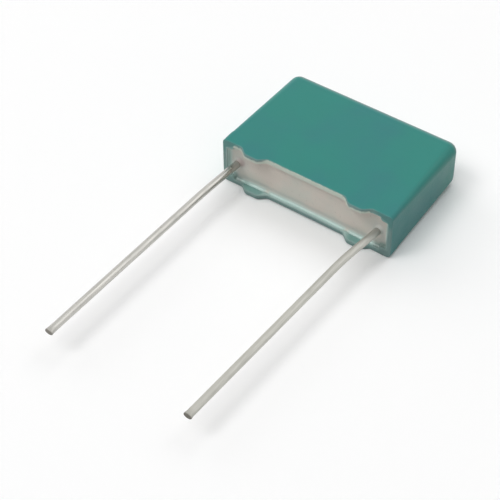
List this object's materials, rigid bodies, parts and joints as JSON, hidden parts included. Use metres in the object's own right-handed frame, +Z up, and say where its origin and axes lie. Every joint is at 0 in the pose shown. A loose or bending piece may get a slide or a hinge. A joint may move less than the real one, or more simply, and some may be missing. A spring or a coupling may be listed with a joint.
{
  "type": "box film capacitor",
  "caption": "Film capacitor in a moulded rectangular box, potted with resin at its open end, with two straight tinned wire leads and stand-off feet.",
  "frame": {"origin": "middle of the broad face that the part lies on, level with the surface under it", "axes": "+X along the row of leads, +Y toward the closed end and away from the leads, +Z up through the thickness"},
  "size_m": [0.018, 0.0375, 0.005],
  "materials": {
    "case_plastic": "satin moulded polyester, blue-green",
    "resin": "cast epoxy, slightly glossy beige grey",
    "metallised_film": "wound metallised film, silvery",
    "plain_film": "clear smooth film",
    "sprayed_zinc": "rough sprayed metal",
    "tinned_wire": "bright tin plating"
  },
  "bodies": {
    "root": {"case": "case_plastic", "potting_resin": "resin", "film_winding": "metallised_film", "winding_wrap": "plain_film", "end_spray_left": "sprayed_zinc", "end_spray_right": "sprayed_zinc", "lead_left": "tinned_wire", "lead_right": "tinned_wire"}
  },
  "joints": []
}
